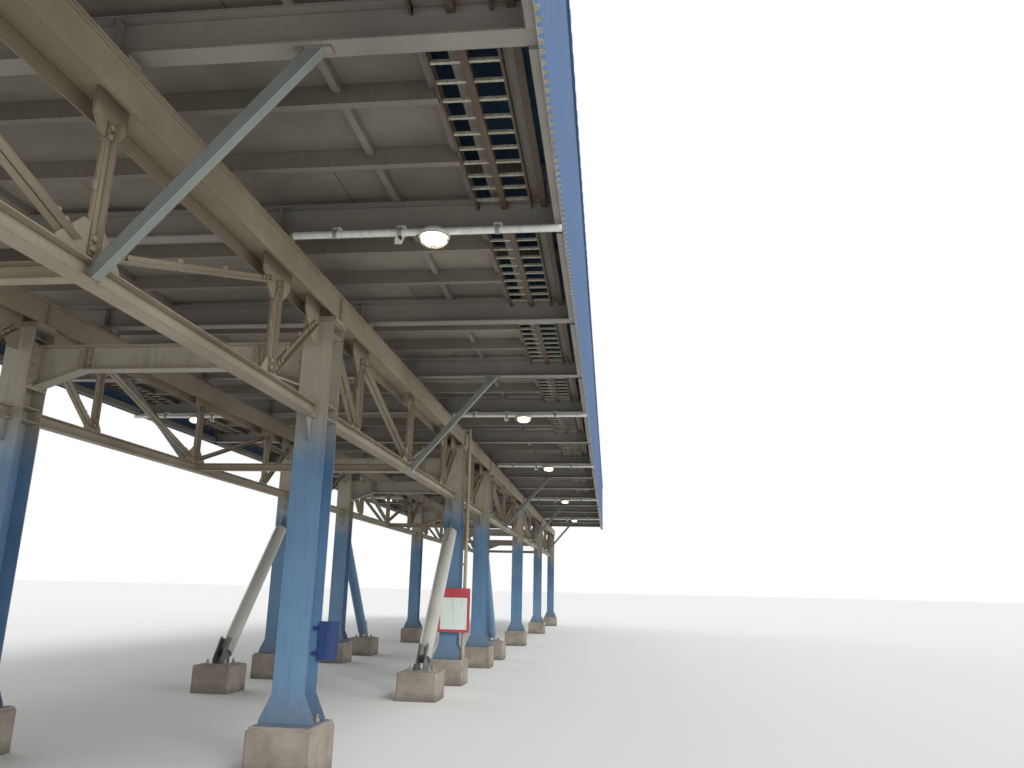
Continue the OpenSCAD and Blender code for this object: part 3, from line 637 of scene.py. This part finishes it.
class GALLERY_OT_bed_bases(bpy.types.Operator):
    """Beds the base plates and shoes in grout and joins the upright pipe's lengths"""
    bl_idname = "gallery.bed_bases"
    bl_label = "Bed the bases"

    def grout_pad(self, name, side, height):
        """Models a low pad with sloped sides and a trowelled, slightly uneven top."""
        slope = 0.035
        pad = begin(name, bpy.ops.mesh.primitive_cube_add, (side, side, height), size=1.0,
                    location=(0.0, 0.0, height / 2))
        bpy.ops.mesh.select_all(action="SELECT")
        bpy.ops.mesh.subdivide(number_cuts=7)
        pick(pad, "VERT", lambda place, normal: place.z > height - 0.001)
        bpy.ops.transform.resize(value=(1.0 - slope / side, 1.0 - slope / side, 1.0))
        pick(pad, "VERT", lambda place, normal: place.z > 0.001)
        bpy.ops.transform.vertex_random(offset=0.0025, seed=3)
        return close(pad)

    def execute(self, context):
        side, height = context.scene.gallery_sizes.pad
        # Cement grout, a shade paler and greyer than the plinths, with uneven trowelled faces.
        grout = cast_concrete("trowelled_cement_grout", "#7C776D", "#98938A", "#B0ABA2")
        column_pad = self.grout_pad("column_pad_pattern", side, height)
        shoe_pad = self.grout_pad("shoe_pad_pattern", side - 0.12, height)
        for pad, ys, name in ((column_pad, FRAME_YS, "column_grout_pads"), (shoe_pad, SHOE_YS, "shoe_grout_pads")):
            repeat(pad, [Matrix.Translation((row * ROW_X, y, PLINTH_TOP)) for y in ys for row in (-1, 1)], name,
                   grout)

        # A screwed socket joins two lengths of the upright pipe, with a raised bead at each end.
        bead = 0.034
        socket = begin("pipe_socket", bpy.ops.mesh.primitive_cylinder_add, vertices=24, radius=0.035, depth=0.10)
        for z in (-bead, bead):
            cut((0.0, 0.0, z), UP)
        pick(socket, "FACE", lambda middle, normal: abs(middle.z) > bead + 0.001 and abs(normal.z) < 0.1)
        bpy.ops.mesh.inset(thickness=0.001, depth=0.004)
        close(socket)
        # The pipe's own buff paint, redder where the threads rust.
        buff = weathered_paint("buff_socket_paint", "#8B806D", "#A59B86", rust="#75482B", rough=0.45, edge=0.004)
        repeat(socket, [Matrix.Translation((*DOWNPIPE, z)) for z in (0.48, 2.55)], "pipe_sockets", buff)
        put_away(column_pad, shoe_pad, socket)
        return {"FINISHED"}


class GALLERY_OT_light_lamps(bpy.types.Operator):
    """Fits each floodlight's glass, wire guard, clamp and cord gland"""
    bl_idname = "gallery.light_lamps"
    bl_label = "Light the floodlights"

    def bowl(self, name, radius, segments, rings, depth, filled):
        """Models the lower half of a ball, pressed to a share of its depth."""
        bowl = begin(name, bpy.ops.mesh.primitive_uv_sphere_add, segments=segments, ring_count=rings, radius=radius)
        cut((0.0, 0.0, 0.0), UP, clear_outer=True, use_fill=filled)
        bpy.ops.mesh.select_all(action="SELECT")
        bpy.ops.transform.resize(value=(1.0, 1.0, depth))
        return close(bowl)

    def execute(self, context):
        radius = context.scene.gallery_sizes.glass
        under = PIPE_Z + 0.026 - LAMP_H
        spots = [Matrix.Translation((x, y, under)) for x, y in LAMPS]
        dome = self.bowl("glass_pattern", radius, 28, 16, 0.42, True)
        bpy.ops.object.shade_smooth_by_angle(angle=math.radians(40.0))
        # Frosted glass with the lamp on behind it, a soft warm white.
        repeat(dome, spots, "lamp_glasses", frosted_glass("lit_frosted_lamp_glass"))

        # A cage of wire over the glass, in bright zinc that the lamp picks out.
        wire = galvanised("zinc_plated_guard_wire", "#B5B3AA", "#8F8C83")
        guard = self.bowl("guard_pattern", radius + 0.014, 10, 8, 0.47, False)
        modify(guard, "WIREFRAME", thickness=0.006, use_replace=True, use_even_offset=False, use_boundary=True)
        repeat(guard, spots, "lamp_guards", wire)

        # A rolled rim that holds the glass, with three clips, in the mid grey of painted cast metal.
        grey = weathered_paint("grey_cast_lamp_rim", "#8D8F8C", "#A6A8A4", "#5A5A54", "#6B5A48", rough=0.4, edge=0.003)
        rim = begin("rim_pattern", bpy.ops.mesh.primitive_torus_add, major_radius=0.117, minor_radius=0.009,
                    major_segments=32, minor_segments=8)
        pick(rim, "FACE", lambda middle, normal: middle.xy.length > 0.118 and middle.z > 0.001
             and any(abs(math.atan2(middle.y, middle.x) - angle) < 0.2 for angle in (-2.09, 0.0, 2.09)))
        raise_faces(0.014)
        close(rim)
        modify(rim, "BEVEL", width=0.0006, segments=1, limit_method="ANGLE", angle_limit=math.radians(50.0))
        repeat(rim, [Matrix.Translation((x, y, under + 0.001)) for x, y in LAMPS], "lamp_rims", grey)

        # A strap clamp round the pipe at each hanger, with its two ears.
        clamp = begin("clamp_pattern", bpy.ops.mesh.primitive_cylinder_add, vertices=24, radius=0.034, depth=0.036,
                      end_fill_type="NOTHING", rotation=(0.0, math.radians(90.0), 0.0))
        close(clamp)
        modify(clamp, "SOLIDIFY", thickness=0.004, offset=0.0)
        bpy.ops.object.mode_set(mode="EDIT")
        pick(clamp, "FACE", lambda middle, normal: middle.z > 0.030 and normal.z > 0.9)
        raise_faces(0.012)
        close(clamp)
        # Three hangers carry each lamp's pipe, two before the lamp and one past it.
        clamps = [Matrix.Translation((math.copysign(spot, x), y, PIPE_Z)) for x, y in LAMPS
                  for spot in (PIPE_START + (abs(x) - PIPE_START) * 0.3, abs(x) - 0.29, (abs(x) + SHEET_X) / 2)]
        # On the upright pipe the ears face the column.
        upright = Matrix.Rotation(math.radians(-90.0), 4, "Y")
        clamps += [Matrix.Translation((*DOWNPIPE, z)) @ upright for z in DOWNPIPE_CLIPS]
        repeat(clamp, clamps, "pipe_clamps", grey)

        # The gland where the cord enters the housing, a hexagon with a ribbed sleeve.
        gland = begin("gland_pattern", bpy.ops.mesh.primitive_cylinder_add, vertices=6, radius=0.016, depth=0.014,
                      location=(0.0, 0.0, 0.007))
        pick(gland, "FACE", lambda middle, normal: normal.z > 0.9)
        bpy.ops.mesh.inset(thickness=0.003, depth=0.004)
        raise_faces(0.012)
        bpy.ops.mesh.inset(thickness=0.003, depth=0.003)
        close(gland)
        # One gland points down from the housing, and one from the pipe, where the cord leaves it.
        glands = []
        for x, y in LAMPS:
            side = math.copysign(1, x)
            glands.append(aimed((x - side * 0.116, y, PIPE_Z - 0.022), (-side, 0.0, -0.35)))
            glands.append(aimed((x - side * 0.29, y, PIPE_Z - 0.035), (side * 0.5, 0.0, -1.0)))
        # Moulded nylon, black with a dull sheen and paler where it is rubbed.
        black = weathered_paint("black_moulded_gland", "#26272A", "#34363A", "#1B1B1B", "#3A352E", edge=0.002, wear=0.1)
        repeat(gland, glands, "cord_glands", black)
        put_away(dome, guard, rim, clamp, gland)
        return {"FINISHED"}


class GALLERY_OT_hang_boards(bpy.types.Operator):
    """Hangs the framed board and the small plate, both left bare, on two columns"""
    bl_idname = "gallery.hang_boards"
    bl_label = "Hang the boards"

    def add_blocks(self, x, back, size, apart):
        """Adds two blocks to the open piece, against its back, one above its middle and one below."""
        bpy.ops.mesh.select_all(action="DESELECT")
        for z in (-apart, apart):
            bpy.ops.mesh.primitive_cube_add(size=1.0, location=(x, back + size[1] / 2, z), scale=size)

    def hang_board(self, size):
        """Hangs the pale board with its red frame and red head on the third outer column."""
        width, thick, height = size
        x, column_face, z = 1.675, FRAME_YS[2] - COLUMN_HALF, 1.235
        head, stand_off = height * 0.30, 0.04
        board = begin("framed_board", bpy.ops.mesh.primitive_cube_add, size, size=1.0)
        pick(board, "FACE", lambda middle, normal: normal.y < -0.9)
        bpy.ops.mesh.inset(thickness=0.035)
        bpy.ops.mesh.bisect(plane_co=(0.0, 0.0, head), plane_no=UP)
        pick(board, "FACE", lambda middle, normal: normal.y < -0.9 and abs(middle.x) < 0.01
             and abs(middle.z) < height * 0.31)
        bpy.ops.mesh.inset(thickness=0.012, depth=-0.006)
        # Two blocks hold it off the column, clear of the upright pipe.
        self.add_blocks(ROW_X - x, thick / 2, (0.16, stand_off, 0.04), 0.22)
        close(board)
        board.data.transform(Matrix.Translation((x, column_face - thick / 2 - stand_off, z)))
        # Red enamel on the frame, bright and smooth, dulled along its edges.
        board.data.materials.append(weathered_paint(
            "red_board_enamel", "#B23A44", "#C25A60", "#6A3A36", "#5E4433", rough=0.35, edge=0.004, wear=0.12))
        # Enamel with a touch of green on the face, almost clean.
        board.data.materials.append(weathered_paint(
            "pale_green_board_face", "#D5E2DA", "#E4ECE6", "#9FA8A0", "#8A7A66", rough=0.3, edge=0.003, wear=0.06))
        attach(board, "root")
        modify(board, "BEVEL", width=0.002, segments=2, limit_method="ANGLE")
        for face in board.data.polygons:
            middle = face.center
            inside = abs(middle.x - x) < width / 2 - 0.046 and abs(middle.z - z) < height * 0.31
            face.material_index = 1 if face.normal.y < -0.9 and inside else 0

    def hang_label(self, size):
        """Hangs the small blue plate beside the second outer column, on brackets to its far flange."""
        label = begin("blue_plate", bpy.ops.mesh.primitive_cube_add, size, size=1.0)
        pick(label, "FACE", lambda middle, normal: normal.y < -0.9)
        bpy.ops.mesh.inset(thickness=0.012, depth=-0.0015)
        self.add_blocks(-0.07, size[1] / 2, (0.16, 0.024, 0.03), 0.11)
        close(label)
        label.data.transform(Matrix.Translation(LABEL_PLACE))
        modify(label, "BEVEL", width=0.001, segments=1, limit_method="ANGLE")
        # Navy enamel with a low gloss.
        navy = weathered_paint(
            "blue_label_enamel", "#263768", "#384B7C", "#1F283A", "#5E4433", rough=0.35, edge=0.002, wear=0.1)
        finish_piece(label, navy)

    def execute(self, context):
        sizes = context.scene.gallery_sizes
        self.hang_board(sizes.board)
        self.hang_label(sizes.label)
        return {"FINISHED"}


class GALLERY_OT_trim_house(bpy.types.Operator):
    """Fits the panel screws, ridge cap, corner angles and cable ladder clips"""
    bl_idname = "gallery.trim_house"
    bl_label = "Trim the house"

    def ribs(self, pitch, part, step=1):
        """Gives the places along the house of a point on each sheet's ribs, at a part of the pitch past their start."""
        edges = [-END_Y, *FRAME_YS[1:-1], END_Y]
        ys = []
        for start, end in zip(edges, edges[1:]):
            count = round((end - start) / pitch)
            ys += [start + (rib + part) * (end - start) / count for rib in range(step // 2, count, step)]
        return ys

    def fit_screws(self, screw, zinc):
        """Screws the walls to three girts at every third rib, and the roof to three purlins at every rib."""
        girts, purlins, crown = (4.55, 5.52, 6.21), (1.376, 2.677, 3.910), 0.0353
        for side, name in ((1, "outer"), (-1, "inner")):
            places = [aimed((side * (SHEET_X + 0.008), y, z), (side, 0.0, 0.0))
                      for y in self.ribs(RIB_PITCH, 0.25, 3) for z in girts]
            repeat(screw, places, f"wall_screws_{name}", zinc)
        for side, name in ((1, "outer"), (-1, "inner")):
            places = [aimed((side * (down * math.cos(SLOPE) + crown * math.sin(SLOPE)), y,
                             RIDGE_Z - down * math.sin(SLOPE) + crown * math.cos(SLOPE)),
                            (side * math.sin(SLOPE), 0.0, math.cos(SLOPE)))
                      for y in self.ribs(ROOF_PITCH, 0.7) for down in purlins]
            repeat(screw, places, f"roof_screws_{name}", zinc)

    def fit_ridge_cap(self, trim):
        """Folds the ridge cap from one sheet, with its lips turned down."""
        half, lip, sheet = 0.29, 0.02, 0.035
        cap = begin("ridge_cap", bpy.ops.mesh.primitive_plane_add, (2 * (half + lip), 2 * END_Y + 0.04, 1.0),
                    size=1.0)
        for x in (-half, 0.0, half):
            cut((x, 0.0, 0.0), (1.0, 0.0, 0.0))
        pick(cap, "VERT", lambda place, normal: abs(abs(place.x) - half) < 0.001)
        bpy.ops.transform.translate(value=(0.0, 0.0, -half * math.tan(SLOPE)))
        pick(cap, "VERT", lambda place, normal: abs(place.x) > half + lip / 2)
        bpy.ops.transform.translate(value=(0.0, 0.0, -half * math.tan(SLOPE) - lip))
        close(cap)
        modify(cap, "SOLIDIFY", thickness=0.003, offset=1.0)
        cap.data.transform(Matrix.Translation((0.0, 0.0, RIDGE_Z + sheet / math.cos(SLOPE) + 0.001)))
        finish_piece(cap, trim)

    def fit_corners(self, trim):
        """Closes each corner of the walls with an angle."""
        legs = (0.05, 0.09, 1.0)
        corner = begin("corner_pattern", bpy.ops.mesh.primitive_plane_add, legs, size=1.0)
        bpy.ops.mesh.select_all(action="SELECT")
        bpy.ops.mesh.delete(type="ONLY_FACE")
        pick(corner, "EDGE", lambda middle, way: middle.y > 0.04 or middle.x > 0.02)
        bpy.ops.mesh.extrude_edges_move(TRANSFORM_OT_translate={"value": (0.0, 0.0, EAVES_Z - WALL_Z)})
        bpy.ops.mesh.select_all(action="SELECT")
        bpy.ops.mesh.normals_make_consistent(inside=False)
        pick(corner, "EDGE", lambda middle, way: abs(middle.z) < 0.001 and not (middle.y > 0.04 or middle.x > 0.02))
        bpy.ops.mesh.delete(type="EDGE")
        close(corner)
        modify(corner, "SOLIDIFY", thickness=0.003, offset=0.0)
        half_turn = Matrix.Rotation(math.pi, 4, "Z")
        quarter = Matrix.Rotation(-math.pi / 2, 4, "Z")
        spots = ((SHEET_X + 0.014, END_Y - 0.04, Matrix()), (-SHEET_X - 0.014, -END_Y + 0.04, half_turn),
                 (SHEET_X, -END_Y + 0.02, quarter), (-SHEET_X, END_Y - 0.02, half_turn @ quarter))
        repeat(corner, [Matrix.Translation((x, y, WALL_Z)) @ turn for x, y, turn in spots], "corner_angles", trim)
        put_away(corner)

    def execute(self, context):
        # Zinc-plated screw heads, small bright dots on the sheets.
        zinc = galvanised("zinc_plated_screw", "#A9ABAA", "#85878A")
        # The sheets' own blue on the folded trim, a shade fresher.
        trim = coil_coated_sheet("blue_coil_coated_trim", "#416289", "#54749A")
        screw = hex_bolt("screw_pattern", context.scene.gallery_sizes.screw, 0.006)
        self.fit_screws(screw, zinc)
        self.fit_ridge_cap(trim)
        self.fit_corners(trim)
        # A cleat ties each end of a ladder's rails to the cross-beam's web.
        cleat = plate("cleat_pattern", (0.012, 0.05, 0.045), 0.002)
        places = [Matrix.Translation((side * x, y + way * 0.03, BEAM_TOP - 0.048))
                  for y in BEAM_YS for side in (-1, 1) for x in LADDER_RAILS for way in (-1, 1)
                  if BEAM_YS[0] < y + way < BEAM_YS[-1]]
        repeat(cleat, places, "ladder_cleats", zinc)
        put_away(screw, cleat)
        return {"FINISHED"}


class GALLERY_OT_hang_cord(bpy.types.Operator):
    """Hangs the looped cord of one inner floodlight"""
    bl_idname = "gallery.hang_cord"
    bl_label = "Hang the lamp cord"

    def execute(self, context):
        sizes = context.scene.gallery_sizes
        # It leaves the pipe's gland straight down, hangs in one loop and comes up to the housing's gland.
        x, y = CORD_LAMP
        start = Vector((x + 0.30, y, PIPE_Z - 0.055))
        end = Vector((x + 0.138, y, PIPE_Z - 0.030))
        straight, bulge, steps = 0.04, Vector((0.03, 0.05, -0.16)), 18
        route = [start, start + Vector((0.0, 0.0, -straight))]
        for step in range(1, steps):
            part = step / steps
            route.append(start.lerp(end, part) + bulge * math.sin(math.pi * part) - Vector((0.0, 0.0, straight)))
        route += [end + Vector((0.012, 0.0, -0.03)), end]
        data = bpy.data.curves.new("lamp_cord", "CURVE")
        data.dimensions = "3D"
        data.bevel_depth = sizes.cord / 2
        data.bevel_resolution = 3
        data.use_fill_caps = True
        spline = data.splines.new("POLY")
        spline.points.add(len(route) - 1)
        for point, place in zip(spline.points, route):
            point.co = (*place, 1.0)
        cord = bpy.data.objects.new("lamp_cord", data)
        context.scene.collection.objects.link(cord)
        data.materials.append(moulded_rubber("black_rubber_cord_sheath", "#1E1F21", "#303236"))
        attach(cord, "root")
        return {"FINISHED"}


class GALLERY_OT_build_stage(bpy.types.Operator):
    """Adds the pale floor, the soft lights and the camera"""
    bl_idname = "gallery.build_stage"
    bl_label = "Build the stage"

    def light_scene(self, scene):
        """Lights the object from the whole sky and three soft suns, with white behind it."""
        world = bpy.data.worlds.new("studio")
        world.use_nodes = True
        scene.world = world
        tree = world.node_tree
        tree.nodes.clear()
        seen = add(tree, "LightPath")
        shiny = add(tree, "Math", {"operation": "MAXIMUM"}, {0: (seen, "Is Camera Ray"), 1: (seen, "Is Glossy Ray")})
        plain = add(tree, "Math", {"operation": "MAXIMUM"}, {0: shiny, 1: (seen, "Is Transmission Ray")})
        light = add(tree, "Background", {"Color": "#F4F6F8", "Strength": 0.75})
        back = add(tree, "Background", {"Color": "#FFFFFF", "Strength": 1.0})
        both = add(tree, "MixShader", links={0: plain, 1: light, 2: back})
        add(tree, "OutputWorld", links={"Surface": both})
        for name, energy, angle, turn in (
                ("key_light", 2.2, 25.0, (52.0, 0.0, 38.0)),
                ("low_fill", 1.1, 40.0, (82.0, 0.0, 68.0)),
                ("back_fill", 0.7, 40.0, (75.0, 0.0, -120.0))):
            data = bpy.data.lights.new(name, "SUN")
            data.energy = energy
            data.angle = math.radians(angle)
            lamp = bpy.data.objects.new(name, data)
            lamp.rotation_euler = [math.radians(a) for a in turn]
            scene.collection.objects.link(lamp)

    def execute(self, context):
        scene = context.scene
        sizes = scene.gallery_sizes
        clear()
        bpy.ops.mesh.primitive_plane_add(size=1600.0, location=(0.0, 0.0, 0.0))
        floor = context.active_object
        floor.name = "studio_floor"
        # A matt pale floor that only takes the object's shadow.
        material = new_material("matt_pale_floor")[0]
        floor.data.materials.append(surfaced(material, {"Base Color": "#D8D8D6", "Roughness": 0.95}))
        self.light_scene(scene)

        data = bpy.data.cameras.new("viewer")
        data.sensor_width = 36.0
        data.lens = sizes.lens
        data.clip_start = 0.05
        data.clip_end = 2000.0
        viewer = bpy.data.objects.new("viewer", data)
        viewer.location = sizes.eye
        viewer.rotation_euler = [math.radians(a) for a in sizes.turn]
        scene.collection.objects.link(viewer)
        scene.camera = viewer
        scene.view_settings.view_transform = "Standard"
        return {"FINISHED"}


class GALLERY_PT_panel(bpy.types.Panel):
    """Lists the gallery's steps in the sidebar"""
    bl_idname = "GALLERY_PT_panel"
    bl_label = "Conveyor Gallery"
    bl_space_type = "VIEW_3D"
    bl_region_type = "UI"
    bl_category = "Gallery"

    def draw(self, context):
        for step in STEPS:
            self.layout.operator(step.bl_idname)


STEPS = (GALLERY_OT_build_stage, GALLERY_OT_hang_cord, GALLERY_OT_paint_steel, GALLERY_OT_paint_lamps,
         GALLERY_OT_fit_bolts, GALLERY_OT_bed_bases, GALLERY_OT_light_lamps, GALLERY_OT_hang_boards,
         GALLERY_OT_trim_house)
CLASSES = (GallerySizes, GalleryColours) + STEPS + (GALLERY_PT_panel,)


def register():
    for item in CLASSES:
        bpy.utils.register_class(item)
    bpy.types.Scene.gallery_sizes = PointerProperty(type=GallerySizes)
    bpy.types.Scene.gallery_colours = PointerProperty(type=GalleryColours)


def unregister():
    del bpy.types.Scene.gallery_colours
    del bpy.types.Scene.gallery_sizes
    for item in reversed(CLASSES):
        bpy.utils.unregister_class(item)


def main():
    register()
    bpy.ops.gallery.build_stage()
    bpy.ops.gallery.hang_cord()
    bpy.ops.gallery.paint_steel()
    bpy.ops.gallery.paint_lamps()
    bpy.ops.gallery.fit_bolts()
    bpy.ops.gallery.bed_bases()
    bpy.ops.gallery.light_lamps()
    bpy.ops.gallery.hang_boards()
    bpy.ops.gallery.trim_house()


if __name__ == "__main__":
    main()
